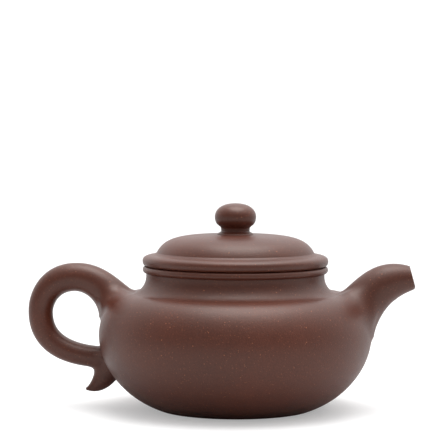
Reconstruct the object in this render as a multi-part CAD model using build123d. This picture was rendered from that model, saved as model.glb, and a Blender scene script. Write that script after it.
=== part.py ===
from build123d import *
import math
import os

# Clay teapot, built up from separately made clay pieces that are luted together.
# Millimetres. +Z is up, the table is z = 0, and the pot's axis is the Z axis.
# The spout points along +X and the handle along -X.

# Body, outside
FOOT_R = 30.1             # radius where the body meets the table
FOOT_SLOPE = 20.0         # degrees above level at which the body leaves the table
FOOT_SWEEP = 16.2         # how far that slope carries
BELLY_R = 53.15           # widest radius
BELLY_Z = 28.7            # height of the widest radius
BELLY_DROP = 10.3         # stretch just under the widest radius that runs upright
BELLY_LIFT = 8.3          # the same just above it
SHOULDER_RISE = 16.3      # widest radius to the flat of the shoulder
SHOULDER_SWEEP = 7.6      # how far out that flat carries
NECK_R = 34.75            # outside of the neck
NECK_FLARE = 5.65         # outside of the neck to where its sweep meets the shoulder's flat
NECK_RISE = 7.8           # flat of the shoulder to the top of the neck
NECK_SWEEP = 3.2          # pull of the neck's hollow curve at each end
NECK_BAND = 1.2           # plain upright band above that curve
MOUTH_RING_OUT = 1.35     # how far the half-round mouth ring stands out from the neck
MOUTH_RING_H = 2.8        # its height

# Body, inside, and how it is pieced
WALL = 3.0                # clay wall of belly and shoulder
NECK_WALL = 3.25          # clay wall of neck and mouth ring
BASE_OUT = 1.4            # how far the base disc reaches past the edge of the foot
BASE_T = 2.6              # its thickness
FOOT_H = 2.0              # height of the foot ring under it
FOOT_W = 6.0              # width of the foot ring
DISC_DROP = 2.4           # seam of wall and shoulder disc, below the flat of the shoulder

# Lid
SEAT_GAP = 0.4            # radial clearance of the flange in the mouth
FLANGE_T = 2.9            # thickness of the flange
FLANGE_H = 7.5            # how deep it reaches into the mouth
BRIM_OUT = 0.08           # how far the lid plate stands out past the mouth ring
BRIM_H = 5.24             # height of the lid plate at the foot of the dome
BRIM_STEP = 5.48          # level part of the lid plate, edge to the foot of the dome
DOME_H = 7.05             # height of the dome
DOME_SLOPE = 63.0         # degrees, its slope at the plate
DOME_PULL = 8.0           # how far that slope carries
DOME_FLAT = 18.3          # how far out the level top carries
DOME_T = 3.0              # its wall
DOME_INNER_PULL = 4.6     # the same two for the hollow under it
DOME_INNER_FLAT = 16.0
KNOB_FOOT_R = 7.2         # knob's foot where it meets the dome
KNOB_FOOT_H = 2.1         # top of the dome to the knob's waist
KNOB_FOOT_PULL = 1.4      # pull of the foot's hollow curve at each end
WAIST_R = 5.6             # knob's waist
KNOB_R = 8.07             # widest radius of the knob
KNOB_LOW = 4.9            # waist to that widest radius
KNOB_HIGH = 5.15          # widest radius to the top of the knob
VENT_R = 1.0              # breathing hole down through knob and dome

# Handle: a ring of clay, thicker towards its upper root
HANDLE_REACH = 23.55      # belly to the middle of the handle's furthest point
HANDLE_LIFT = 5.7         # middle of the handle's top above the flat of the shoulder
HANDLE_DROP = 9.4         # middle of its lower root below the widest radius
HANDLE_TOP_OUT = 9.65     # belly to the middle of the handle's top
HANDLE_SIDE_UP = 8.2      # middle of its furthest point above the widest radius
HANDLE_LOW_HALF = 4.2     # half thickness at the lower root
HANDLE_SIDE_HALF = 4.8    # half thickness at the furthest point
HANDLE_TOP_HALF = 5.55    # half thickness at the top
HANDLE_ROOT_HALF = 8.7    # half thickness at the upper root
ROOT_SINK = 7.0           # how far a root is carried into the body before it is trimmed
HANDLE_LOW_IN = 0.25      # lower root, inside the widest radius
HANDLE_ROOT_IN = 6.65     # upper root, inside the widest radius
HANDLE_ROOT_DROP = 4.7    # upper root below the flat of the shoulder
# Pulls of the handle's three curves: out along X, up along Z, and the half thickness there
HANDLE_LOW_PULLS = ((-14.4, 0.65, 4.3), (0.0, -11.6, HANDLE_SIDE_HALF))
HANDLE_SIDE_PULLS = ((0.0, 5.45, 4.95), (-10.1, 0.0, HANDLE_TOP_HALF))
HANDLE_TOP_PULLS = ((9.1, 0.0, 5.95), (-2.0, 2.7, 6.2))

# Tail: the lip that hangs under the handle's lower root
TAIL_DROP = 22.9          # widest radius down to the underside of the tail
TAIL_OUT = 5.5            # belly to the point of the tail
TAIL_W = 8.0              # its width
TAIL_RISE = 5.5           # underside of the tail up to where it runs into the body

# Spout
TIP_OUT = 15.7            # belly to the middle of the spout's lip
TIP_UNDER_MOUTH = 3.6     # middle of the lip below the top of the mouth ring
TIP_CUT = 16.0            # degrees the lip's face leans back
TIP_HALF = 4.5            # outside radius at the lip
SPOUT_MID_HALF = 7.66     # outside radius half way
SPOUT_ROOT_HALF = 11.3    # outside radius at the root
SPOUT_ROOT_IN = 8.15      # root, inside the widest radius
SPOUT_ROOT_DROP = 9.65    # root below the flat of the shoulder
SPOUT_MID_OUT = 3.35      # half way, outside the widest radius
SPOUT_MID_UP = 3.13       # half way, above the flat of the shoulder
# Pulls of the spout's two curves: out along X, up along Z, and the outside radius there
SPOUT_LOW_PULLS = ((3.3, 4.3, 8.4), (-4.3, -2.8, 8.33))
SPOUT_HIGH_PULLS = ((5.3, 3.44, 7.14), (-2.3, -0.96, 5.1))
OUTLET_R = 3.1            # bore of the outlet
OUTLET_LENGTH = 5.0       # straight length of that bore
CHANNEL_WALL = 2.0        # spout wall half way
WALL_HOLE_R = 7.0         # hole in the body's wall behind the spout
HOLE_PLACE = 0.5          # its place along the shoulder's inside curve, 0 to 1

# Strainer: a thin pierced dome over that hole
STRAINER_SEAT = 2.2       # how far its edge lies outside the hole
STRAINER_T = 1.8
STRAINER_HOLE_R = 0.9
STRAINER_RINGS = ((6, 20.0), (12, 39.0), (18, 57.0))   # holes and degrees off the axis

# Radii and heights worked out from the sizes above
SHOULDER_R = NECK_R + NECK_FLARE
MOUTH_RING_R = NECK_R + MOUTH_RING_OUT
MOUTH_R = NECK_R - NECK_WALL
BASE_R = FOOT_R + BASE_OUT
BRIM_R = MOUTH_RING_R + BRIM_OUT
DOME_R = BRIM_R - BRIM_STEP
STRAINER_R = WALL_HOLE_R + STRAINER_SEAT
SHOULDER_Z = BELLY_Z + SHOULDER_RISE
NECK_TOP_Z = SHOULDER_Z + NECK_RISE
MOUTH_Z = NECK_TOP_Z + MOUTH_RING_H
BASE_Z = FOOT_H + BASE_T
VALLEY_Z = MOUTH_Z + BRIM_H
DOME_Z = VALLEY_Z + DOME_H
WAIST_Z = DOME_Z + KNOB_FOOT_H
KNOB_Z = WAIST_Z + KNOB_LOW + KNOB_HIGH
FLANGE_R = MOUTH_R - SEAT_GAP
FLANGE_BORE_R = FLANGE_R - FLANGE_T
FAR = 3 * BELLY_R


def at(r, z):
    """A point of the half section, r out from the axis and z up."""
    return (r, 0, z)


def slope(degrees, length):
    """The level and upright parts of a length laid off at an angle."""
    return length * math.cos(math.radians(degrees)), length * math.sin(math.radians(degrees))


def turned(*edges):
    """The solid swept by a closed half section turned about the pot's axis."""
    return revolve(make_face(edges), axis=Axis.Z)


def disc(radius, low, high):
    """A plain upright cylinder between two heights."""
    return Pos(0, 0, low) * Cylinder(radius, high - low, align=(Align.CENTER, Align.CENTER, Align.MIN))


def bezier(points, t):
    """A cubic through four control points: the place and the direction at t."""
    weights = ((1 - t) ** 3, 3 * t * (1 - t) ** 2, 3 * t * t * (1 - t), t ** 3)
    place = [sum(w * p[i] for w, p in zip(weights, points)) for i in range(len(points[0]))]
    steps = ((1 - t) ** 2, 2 * t * (1 - t), t * t)
    run = [sum(s * (b[i] - a[i]) for s, a, b in zip(steps, points, points[1:])) for i in range(2)]
    size = math.hypot(*run)
    return place, (run[0] / size, run[1] / size)


def round_section(x, z, radius, direction):
    """A round face across a path that runs in the XZ plane."""
    plane = Plane(origin=(x, 0, z), x_dir=(0, 1, 0), z_dir=(direction[0], 0, direction[1]))
    return plane * Circle(radius)


# Inside curve of the shoulder, which also places the spout's hole and strainer
INNER_SHOULDER_R = SHOULDER_R - 0.3 * WALL
INNER_EASE = 0.4          # its pulls are this much shorter than the outside's
INNER_SHOULDER = (
    (BELLY_R - WALL, BELLY_Z),
    (BELLY_R - WALL, BELLY_Z + BELLY_LIFT - INNER_EASE),
    (INNER_SHOULDER_R + SHOULDER_SWEEP - INNER_EASE, SHOULDER_Z - WALL),
    (INNER_SHOULDER_R, SHOULDER_Z - WALL),
)


def pulled(end, pull):
    """A control point: an end of a curve moved by a pull, with the pull's own half thickness."""
    return (end[0] + pull[0], end[1] + pull[1], pull[2])


def body_outside():
    """Everything inside the body's outer surface, as one solid."""
    run, rise = slope(FOOT_SLOPE, FOOT_SWEEP)
    curve_top = NECK_TOP_Z - NECK_BAND
    bead_z = NECK_TOP_Z + MOUTH_RING_H / 2
    rim_r = MOUTH_RING_R - MOUTH_RING_H / 4
    return turned(
        Line(at(0, 0), at(FOOT_R, 0)),
        Bezier(at(FOOT_R, 0), at(FOOT_R + run, rise),
               at(BELLY_R, BELLY_Z - BELLY_DROP), at(BELLY_R, BELLY_Z)),
        Bezier(at(BELLY_R, BELLY_Z), at(BELLY_R, BELLY_Z + BELLY_LIFT),
               at(SHOULDER_R + SHOULDER_SWEEP, SHOULDER_Z), at(SHOULDER_R, SHOULDER_Z)),
        Bezier(at(SHOULDER_R, SHOULDER_Z), at(SHOULDER_R - NECK_SWEEP, SHOULDER_Z),
               at(NECK_R, curve_top - NECK_SWEEP), at(NECK_R, curve_top)),
        Line(at(NECK_R, curve_top), at(NECK_R, NECK_TOP_Z)),
        ThreePointArc(at(NECK_R, NECK_TOP_Z), at(MOUTH_RING_R, bead_z), at(rim_r, MOUTH_Z)),
        Line(at(rim_r, MOUTH_Z), at(0, MOUTH_Z)),
        Line(at(0, MOUTH_Z), at(0, 0)),
    )


def body_inside():
    """The tea's space, carried up through the mouth."""
    corner_r = FOOT_R - WALL / 2
    run, rise = slope(FOOT_SLOPE, FOOT_SWEEP - WALL)
    curve_top = NECK_TOP_Z - NECK_BAND - WALL
    above = MOUTH_Z + WALL
    return turned(
        Line(at(0, BASE_Z), at(corner_r, BASE_Z)),
        Bezier(at(corner_r, BASE_Z), at(corner_r + run, BASE_Z + rise),
               at(BELLY_R - WALL, BELLY_Z - BELLY_DROP), at(BELLY_R - WALL, BELLY_Z)),
        Bezier(*(at(r, z) for r, z in INNER_SHOULDER)),
        Bezier(at(INNER_SHOULDER_R, SHOULDER_Z - WALL), at(INNER_SHOULDER_R - NECK_SWEEP, SHOULDER_Z - WALL),
               at(MOUTH_R, curve_top - NECK_SWEEP), at(MOUTH_R, curve_top)),
        Line(at(MOUTH_R, curve_top), at(MOUTH_R, above)),
        Line(at(MOUTH_R, above), at(0, above)),
        Line(at(0, above), at(0, BASE_Z)),
    )


def spout_root():
    """Middle of the hole behind the spout on the inside wall, and the way out through the wall."""
    place, run = bezier(INNER_SHOULDER, HOLE_PLACE)
    return place, (run[1], -run[0])


def wall_hole():
    """The round hole through the wall behind the spout."""
    (x, z), out = spout_root()
    drill = Plane(origin=(x, 0, z), x_dir=(0, 1, 0), z_dir=(out[0], 0, out[1]))
    return drill * Cylinder(WALL_HOLE_R, 4 * WALL)


def belly_wall(shell):
    """Beaten side wall, from the base disc up to the shoulder seam."""
    ring = disc(FAR, 0, SHOULDER_Z - DISC_DROP) - disc(BASE_R, 0, BELLY_Z)
    ring = ring - disc(SHOULDER_R, BELLY_Z, SHOULDER_Z)
    return (shell & ring) - wall_hole()


def shoulder_disc(shell):
    """Flat disc that closes the top of the wall, opened out for the neck."""
    ring = disc(FAR, SHOULDER_Z - DISC_DROP, MOUTH_Z) - disc(SHOULDER_R, 0, MOUTH_Z)
    return (shell & ring) - wall_hole()


def neck_collar(shell):
    """Low hollow-sided neck that stands in the shoulder disc."""
    return shell & disc(SHOULDER_R, BELLY_Z, NECK_TOP_Z)


def mouth_ring(shell):
    """Half-round ring on the neck that the lid sits on."""
    return shell & disc(FAR, NECK_TOP_Z, MOUTH_Z)


def base_disc(shell):
    """Bottom of the pot, inside the lower edge of the wall."""
    return shell & disc(BASE_R, FOOT_H, BELLY_Z)


def foot_ring(shell):
    """Low ring under the base disc that the pot stands on."""
    return shell & (disc(BASE_R, 0, FOOT_H) - disc(BASE_R - FOOT_W, 0, FOOT_H))


def spout_paths():
    """Two curves of (x, z, outside radius) along the spout, from its root to its lip."""
    root = (BELLY_R - SPOUT_ROOT_IN, SHOULDER_Z - SPOUT_ROOT_DROP, SPOUT_ROOT_HALF)
    middle = (BELLY_R + SPOUT_MID_OUT, SHOULDER_Z + SPOUT_MID_UP, SPOUT_MID_HALF)
    lip = (BELLY_R + TIP_OUT, MOUTH_Z - TIP_UNDER_MOUTH, TIP_HALF)
    lower = (root, pulled(root, SPOUT_LOW_PULLS[0]), pulled(middle, SPOUT_LOW_PULLS[1]), middle)
    upper = (middle, pulled(middle, SPOUT_HIGH_PULLS[0]), pulled(lip, SPOUT_HIGH_PULLS[1]), lip)
    return lower, upper


def spout(outside):
    """Hollow curved spout, trimmed to the body and cut off at the lip."""
    lower, upper = spout_paths()
    sections = []
    for curve, places in ((lower, (0.0, 0.35, 0.7)), (upper, (0.0, 0.35, 0.7, 1.0))):
        for t in places:
            (x, z, radius), direction = bezier(curve, t)
            sections.append(round_section(x, z, radius, direction))
    lip = slope(TIP_CUT, 1.0)
    beyond = 2 * TIP_HALF
    sections.append(round_section(x + beyond * direction[0], z + beyond * direction[1], radius, direction))
    cut = Plane(origin=(x, 0, z), x_dir=(0, 1, 0), z_dir=(lip[0], 0, lip[1]))
    waste = cut * Box(FAR, FAR, FAR, align=(Align.CENTER, Align.CENTER, Align.MIN))
    return loft(sections) - waste - outside - spout_channel()


def spout_channel():
    """The way through the spout: from the hole in the wall down to the straight outlet bore."""
    lower, upper = spout_paths()
    (root_x, root_z), out = spout_root()
    (tip_x, tip_z, _), _ = bezier(upper, 1.0)
    lip = slope(TIP_CUT, 1.0)
    sections = [
        round_section(root_x - WALL * out[0], root_z - WALL * out[1], WALL_HOLE_R, out),
        round_section(root_x + WALL * out[0], root_z + WALL * out[1], WALL_HOLE_R, out),
    ]
    (x, z, radius), direction = bezier(upper, 0.0)
    sections.append(round_section(x, z, radius - CHANNEL_WALL, direction))
    start_x = tip_x - OUTLET_LENGTH * lip[0]
    start_z = tip_z - OUTLET_LENGTH * lip[1]
    sections.append(round_section(start_x, start_z, OUTLET_R, lip))
    bore = Plane(origin=(start_x, 0, start_z), x_dir=(0, 1, 0), z_dir=(lip[0], 0, lip[1]))
    outlet = bore * Cylinder(OUTLET_R, 2 * OUTLET_LENGTH, align=(Align.CENTER, Align.CENTER, Align.MIN))
    return loft(sections) + outlet


def spout_strainer(inside):
    """Thin pierced dome luted on the inside wall over the spout's hole."""
    (x, z), out = spout_root()
    seat = Plane(origin=(x, 0, z), x_dir=(0, 1, 0), z_dir=(-out[0], 0, -out[1]))
    dome = (seat * Sphere(STRAINER_R) - seat * Sphere(STRAINER_R - STRAINER_T)) & inside
    through = Cylinder(STRAINER_HOLE_R, 2 * STRAINER_T, align=(Align.CENTER, Align.CENTER, Align.CENTER))
    drill = Pos(0, 0, STRAINER_R - STRAINER_T / 2) * through
    holes = [seat * drill]
    for count, lean in STRAINER_RINGS:
        for i in range(count):
            holes.append(seat * Rot(0, 0, 360 * i / count) * Rot(0, lean, 0) * drill)
    return dome - holes


def handle_paths():
    """Three curves of (x, z, half thickness) round the handle, from its lower root to its upper."""
    low = (HANDLE_LOW_IN - BELLY_R, BELLY_Z - HANDLE_DROP, HANDLE_LOW_HALF)
    side = (-BELLY_R - HANDLE_REACH, BELLY_Z + HANDLE_SIDE_UP, HANDLE_SIDE_HALF)
    top = (-BELLY_R - HANDLE_TOP_OUT, SHOULDER_Z + HANDLE_LIFT, HANDLE_TOP_HALF)
    root = (HANDLE_ROOT_IN - BELLY_R, SHOULDER_Z - HANDLE_ROOT_DROP, HANDLE_ROOT_HALF)
    first = (low, pulled(low, HANDLE_LOW_PULLS[0]), pulled(side, HANDLE_LOW_PULLS[1]), side)
    second = (side, pulled(side, HANDLE_SIDE_PULLS[0]), pulled(top, HANDLE_SIDE_PULLS[1]), top)
    third = (top, pulled(top, HANDLE_TOP_PULLS[0]), pulled(root, HANDLE_TOP_PULLS[1]), root)
    return first, second, third


def handle(outside):
    """Round-sectioned handle, thickest at its upper root, trimmed to the body."""
    first, second, third = handle_paths()
    (x, z, half), run = bezier(first, 0.0)
    sections = [round_section(x - ROOT_SINK * run[0], z - ROOT_SINK * run[1], half, run)]
    stations = ((first, (0.0, 0.25, 0.5, 0.75)), (second, (0.0, 0.33, 0.67)), (third, (0.0, 0.3, 0.6, 0.85)))
    for curve, places in stations:
        for t in places:
            (x, z, half), run = bezier(curve, t)
            sections.append(round_section(x, z, half, run))
    (x, z, half), run = bezier(third, 1.0)
    sections.append(round_section(x, z, half, run))
    sections.append(round_section(x + ROOT_SINK * run[0], z + ROOT_SINK * run[1], 0.9 * half, run))
    return loft(sections) - outside


def handle_tail(outside, grip):
    """Small hooked lip under the lower root: a side outline and a tapering plan outline in one."""
    point_x = -BELLY_R - TAIL_OUT
    under_z = BELLY_Z - TAIL_DROP
    top_z = BELLY_Z - HANDLE_DROP
    inner_x = ROOT_SINK - BELLY_R
    half = TAIL_W / 2
    side = make_face((
        Bezier(at(point_x, top_z - 3.8), at(point_x + 4.4, top_z - 5.0),
               at(point_x + 3.4, under_z + 5.4), at(point_x, under_z + 1.3)),
        Line(at(point_x, under_z + 1.3), at(point_x + 1.0, under_z + 0.2)),
        Bezier(at(point_x + 1.0, under_z + 0.2), at(point_x + 4.1, under_z - 0.4),
               at(point_x + 8.1, under_z), at(inner_x, under_z + TAIL_RISE)),
        Line(at(inner_x, under_z + TAIL_RISE), at(inner_x, top_z)),
        Line(at(inner_x, top_z), at(point_x, top_z)),
        Line(at(point_x, top_z), at(point_x, top_z - 3.8)),
    ))
    plan = make_face((
        Bezier((point_x, 0), (point_x, 0.8 * half), (point_x + 5.0, half), (inner_x, half)),
        Line((inner_x, half), (inner_x, -half)),
        Bezier((inner_x, -half), (point_x + 5.0, -half), (point_x, -0.8 * half), (point_x, 0)),
    ))
    return (extrude(side, half, both=True) & extrude(plan, BELLY_Z)) - outside - grip


def lid_plate():
    """Flat ring with a rounded brim, between flange and dome."""
    brim_z = MOUTH_Z + 0.38 * BRIM_H
    return turned(
        Line(at(FLANGE_BORE_R, MOUTH_Z), at(BRIM_R - 0.9, MOUTH_Z)),
        Bezier(at(BRIM_R - 0.9, MOUTH_Z), at(BRIM_R - 0.2, MOUTH_Z),
               at(BRIM_R, brim_z - 1.0), at(BRIM_R, brim_z)),
        Bezier(at(BRIM_R, brim_z), at(BRIM_R, brim_z + 1.9), at(BRIM_R - 2.0, VALLEY_Z - 1.0),
               at(DOME_R, VALLEY_Z)),
        Line(at(DOME_R, VALLEY_Z), at(FLANGE_BORE_R, VALLEY_Z)),
        Line(at(FLANGE_BORE_R, VALLEY_Z), at(FLANGE_BORE_R, MOUTH_Z)),
    )


def dome_outside():
    """Everything under the dome's outer surface."""
    run, rise = slope(DOME_SLOPE, DOME_PULL)
    return turned(
        Line(at(0, VALLEY_Z), at(DOME_R, VALLEY_Z)),
        Bezier(at(DOME_R, VALLEY_Z), at(DOME_R - run, VALLEY_Z + rise),
               at(DOME_FLAT, DOME_Z), at(0, DOME_Z)),
        Line(at(0, DOME_Z), at(0, VALLEY_Z)),
    )


def dome_inside():
    """The hollow under the dome."""
    top = DOME_Z - DOME_T
    run, rise = slope(DOME_SLOPE, DOME_INNER_PULL)
    return turned(
        Line(at(0, VALLEY_Z), at(FLANGE_BORE_R, VALLEY_Z)),
        Bezier(at(FLANGE_BORE_R, VALLEY_Z), at(FLANGE_BORE_R - run, VALLEY_Z + rise),
               at(DOME_INNER_FLAT, top), at(0, top)),
        Line(at(0, top), at(0, VALLEY_Z)),
    )


def lid_flange():
    """Upright ring under the plate that keeps the lid in the mouth."""
    return disc(FLANGE_R, MOUTH_Z - FLANGE_H, MOUTH_Z) - disc(FLANGE_BORE_R, MOUTH_Z - FLANGE_H, MOUTH_Z)


def knob_foot(vent):
    """Low flared foot between dome and knob."""
    flare = turned(
        Line(at(0, VALLEY_Z), at(KNOB_FOOT_R, VALLEY_Z)),
        Line(at(KNOB_FOOT_R, VALLEY_Z), at(KNOB_FOOT_R, DOME_Z)),
        Bezier(at(KNOB_FOOT_R, DOME_Z), at(KNOB_FOOT_R - KNOB_FOOT_PULL, DOME_Z),
               at(WAIST_R, WAIST_Z - KNOB_FOOT_PULL), at(WAIST_R, WAIST_Z)),
        Line(at(WAIST_R, WAIST_Z), at(0, WAIST_Z)),
        Line(at(0, WAIST_Z), at(0, VALLEY_Z)),
    )
    return flare - dome_outside() - vent


def knob(vent):
    """Flattened ball that the lid is lifted by."""
    widest = WAIST_Z + KNOB_LOW
    return turned(
        Line(at(0, WAIST_Z), at(WAIST_R, WAIST_Z)),
        Bezier(at(WAIST_R, WAIST_Z), at(WAIST_R, WAIST_Z + 0.33 * KNOB_LOW),
               at(KNOB_R, widest - 0.8 * KNOB_LOW), at(KNOB_R, widest)),
        Bezier(at(KNOB_R, widest), at(KNOB_R, widest + 0.3 * KNOB_HIGH),
               at(0.85 * KNOB_R, KNOB_Z), at(0, KNOB_Z)),
        Line(at(0, KNOB_Z), at(0, WAIST_Z)),
    ) - vent


def teapot():
    """Every piece by name."""
    outside = body_outside()
    inside = body_inside()
    shell = outside - inside
    vent = disc(VENT_R, VALLEY_Z, KNOB_Z + DOME_H)
    grip = handle(outside)
    return {
        "foot_ring": foot_ring(shell),
        "base_disc": base_disc(shell),
        "belly_wall": belly_wall(shell),
        "shoulder_disc": shoulder_disc(shell),
        "neck_collar": neck_collar(shell),
        "mouth_ring": mouth_ring(shell),
        "spout": spout(outside),
        "spout_strainer": spout_strainer(inside),
        "handle": grip,
        "handle_tail": handle_tail(outside, grip),
        "lid_plate": lid_plate(),
        "lid_dome": dome_outside() - dome_inside() - vent,
        "lid_flange": lid_flange(),
        "knob_foot": knob_foot(vent),
        "knob": knob(vent),
    }


os.makedirs("parts", exist_ok=True)
for name, piece in teapot().items():
    export_step(piece, f"parts/{name}.step")
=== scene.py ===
import bmesh
import bpy
import math
import numpy as np
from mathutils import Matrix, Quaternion, Vector


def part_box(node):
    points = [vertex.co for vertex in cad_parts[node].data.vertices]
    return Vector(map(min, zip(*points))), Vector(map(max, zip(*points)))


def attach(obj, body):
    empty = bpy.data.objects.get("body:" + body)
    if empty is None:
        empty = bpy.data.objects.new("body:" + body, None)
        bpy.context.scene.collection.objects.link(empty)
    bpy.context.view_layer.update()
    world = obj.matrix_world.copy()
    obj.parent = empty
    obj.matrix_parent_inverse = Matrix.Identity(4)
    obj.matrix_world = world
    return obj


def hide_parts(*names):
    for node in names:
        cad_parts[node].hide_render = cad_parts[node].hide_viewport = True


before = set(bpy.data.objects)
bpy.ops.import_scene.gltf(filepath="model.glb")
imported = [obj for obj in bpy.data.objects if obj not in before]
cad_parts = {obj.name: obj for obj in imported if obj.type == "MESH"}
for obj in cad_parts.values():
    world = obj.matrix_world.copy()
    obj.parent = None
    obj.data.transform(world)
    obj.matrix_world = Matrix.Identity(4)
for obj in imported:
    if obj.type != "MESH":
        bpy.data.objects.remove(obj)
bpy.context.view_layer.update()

# Low round teapot of unglazed purple-brown clay.
# Lengths are worked in millimetres and become metres when a mesh is made.
# +Z is up through the lid's knob, +X runs out along the spout, -X along the handle.
MM = 0.001
ACROSS = np.array([0.0, 1.0, 0.0])


def reach(node):
    """Half width across the pot, lowest z and highest z of one clay piece, in millimetres."""
    low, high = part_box(node)
    return (high[1] - low[1]) / 2 / MM, low[2] / MM, high[2] / MM


# ---- sizes read from the fired clay pieces ----
BELLY_R, _, _ = reach("belly_wall")
SHOULDER_R, _, _ = reach("neck_collar")
_, _, SHOULDER_Z = reach("shoulder_disc")
MOUTH_RING_R, NECK_TOP_Z, MOUTH_Z = reach("mouth_ring")
BASE_R, _, FOOT_H = reach("foot_ring")
FLANGE_R, FLANGE_Z, _ = reach("lid_flange")
BRIM_R, _, VALLEY_Z = reach("lid_plate")
DOME_R, _, DOME_Z = reach("lid_dome")
KNOB_FOOT_R, _, WAIST_Z = reach("knob_foot")
KNOB_R, _, KNOB_Z = reach("knob")

# ---- the maker's curves: body, neck and lid ----
BELLY_Z = 28.7            # height of the widest radius
FOOT_R = 30.1             # where the body meets the table
FOOT_SLOPE = math.radians(20.0)   # rise of the skin as it leaves the foot
FOOT_SWEEP = 16.2         # pull of the curve out of the foot
BELLY_DROP = 10.3         # pull of the curve under the widest radius
BELLY_LIFT = 8.3          # pull of the curve over the widest radius
SHOULDER_SWEEP = 7.6      # pull of the curve into the flat of the shoulder
NECK_R = 34.75            # narrowest outside radius of the neck
NECK_SWEEP = 3.2          # pulls of the neck's hollow curve
NECK_BAND = 1.2           # straight band under the mouth ring
WALL = 3.0                # thickness of the wall
BASE_T = 2.6              # thickness of the base disc
FOOT_W = 6.0              # width of the foot ring
FOOT_HOLLOW = 0.35        # rise of the base's underside at the axis
RING_MID = 1.4            # middle of the mouth ring's bead above the neck
MOUTH_R = FLANGE_R + 0.4  # clearance round the flange
FLANGE_BORE_R = FLANGE_R - 2.9
BRIM_MID = 2.1            # widest part of the brim above the mouth
BRIM_ROLL = 3.7           # brim's edge in to where its roll ends
DOME_SLOPE = math.radians(63.0)   # slope of the dome at its foot
DOME_PULL = 8.0           # pull of the dome's curve at its foot
DOME_FLAT = 18.3          # radius of the pull that keeps its top flat
DOME_INNER_PULL = 4.6     # the same two for the dome's hollow
DOME_INNER_FLAT = 16.0
DOME_T = 3.0              # thickness of the dome
WAIST_R = 5.6             # narrowest radius, under the knob
KNOB_MID = 4.9            # widest part of the knob above the waist
VENT_R = 1.0              # breathing hole
STEP = 0.6                # spacing of points along a section
AROUND = 384              # points round the pot
KNOB_AROUND = 192         # points round the knob and its foot
CREASE = 38.0             # degrees past which an edge stays crisp

# ---- the maker's curves: handle, tail and spout, as (along x, up z, half thickness) ----
HANDLE_LOW = (0.25 - BELLY_R, BELLY_Z - 9.4, 4.2)
HANDLE_SIDE = (-BELLY_R - 23.55, BELLY_Z + 8.2, 4.8)
HANDLE_TOP = (-BELLY_R - 9.65, SHOULDER_Z + 5.7, 5.55)
HANDLE_ROOT = (6.65 - BELLY_R, SHOULDER_Z - 4.7, 8.7)
HANDLE_LOW_PULLS = ((-14.4, 0.65, 4.3), (0, -11.6, 4.8))
HANDLE_SIDE_PULLS = ((0, 5.45, 4.95), (-10.1, 0, 5.55))
HANDLE_TOP_PULLS = ((9.1, 0, 5.95), (-2.0, 2.7, 6.2))
HANDLE_SQUASH = 0.96      # half width over half thickness at the upper root
TAIL_TOP = (4.4 - BELLY_R, BELLY_Z - 11.5, 5.3)
TAIL_POINT = (-BELLY_R - 4.9, BELLY_Z - 22.0, 0.75)
TAIL_PULLS = ((-1.9, -5.5, 4.8), (4.5, 1.1, 3.7))
TAIL_WIDTHS = (4.4, 1.9)  # half width at its root and at its point
SPOUT_ROOT = (BELLY_R - 8.15, SHOULDER_Z - 9.65, 11.3)
SPOUT_MID = (BELLY_R + 3.35, SHOULDER_Z + 3.13, 7.66)
SPOUT_LIP = (BELLY_R + 15.7, MOUTH_Z - 3.65, 4.59)
SPOUT_ROOT_PULLS = ((3.29, 4.29, 8.39), (-4.32, -2.79, 8.33))
SPOUT_MID_PULLS = ((5.3, 3.44, 7.14), (-2.28, -0.96, 5.17))
SPOUT_HOLE_R = 7.0        # hole in the wall behind the spout
SPOUT_BORE_MID = 5.6      # radius of the channel half way
OUTLET_R = 3.1            # bore at the lip
OUTLET_RUN = 5.0          # straight part of the bore
LIP_LEAN = math.radians(16.0)
LIMB_AROUND = 112         # points round the handle and the spout
TAIL_AROUND = 72

# ---- how wide the luted joints' easing is, and between which places it changes ----
NECK_EASE = 1.6                                    # beside the neck
NECK_SIDE = (SHOULDER_R - 2.5, SHOULDER_R + 4.5)   # from there out over the belly
HANDLE_EASE = (2.2, 11.0)                          # on its ridge and at its lower root, on its flanks
HANDLE_FLANK = (1.5, 7.5)                          # across the pot
HANDLE_UPPER = (34.0, 42.0)                        # up from the lower root to the upper
TAIL_EASE = (2.4, 5.0)                             # on the body, out on the handle
TAIL_SIDE = (1.5 - BELLY_R, -1.5 - BELLY_R)
SPOUT_RIDGE_EASE = (2.2, 3.2)                      # under the spout, over it
SPOUT_RIDGE_UP = (36.0, 44.0)
SPOUT_FLANK_EASE = (3.2, 13.0)                     # the same on its flanks
SPOUT_FLANK_UP = (29.0, 39.0)
SPOUT_FLANK = (1.5, 8.5)                           # across the pot


# ---- curves and sections ----

def cubic(a, b, c, d, step=STEP):
    """Evenly spaced points on a cubic through a and d pulled by b and c:
    (1-t)^3 a + 3t(1-t)^2 b + 3t^2(1-t) c + t^3 d."""
    t = np.linspace(0, 1, 400)[:, None]
    shares = ((1 - t) ** 3, 3 * t * (1 - t) ** 2, 3 * t * t * (1 - t), t ** 3)
    fine = sum(share * np.array(point, float) for share, point in zip(shares, (a, b, c, d)))
    run = np.concatenate([[0], np.cumsum(np.hypot(*np.diff(fine[:, :2], axis=0).T))])
    count = max(2, int(math.ceil(run[-1] / step)) + 1)
    even = np.linspace(0, run[-1], count)
    return np.stack([np.interp(even, run, fine[:, i]) for i in range(fine.shape[1])], 1)


def straight(a, b, step=STEP):
    """Evenly spaced points on the line from a to b."""
    a, b = np.array(a, float), np.array(b, float)
    count = max(2, int(math.ceil(np.hypot(*(b - a)[:2]) / step)) + 1)
    return a + (b - a) * np.linspace(0, 1, count)[:, None]


def pulled(end, pull):
    """The control point that a pull sets beside one end of a curve; its third value is a half thickness."""
    return end[0] + pull[0], end[1] + pull[1], pull[2]


def pulled_cubic(a, pulls, d, step):
    """A cubic from a to d with a pull beside each end."""
    return cubic(a, pulled(a, pulls[0]), pulled(d, pulls[1]), d, step)


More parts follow.
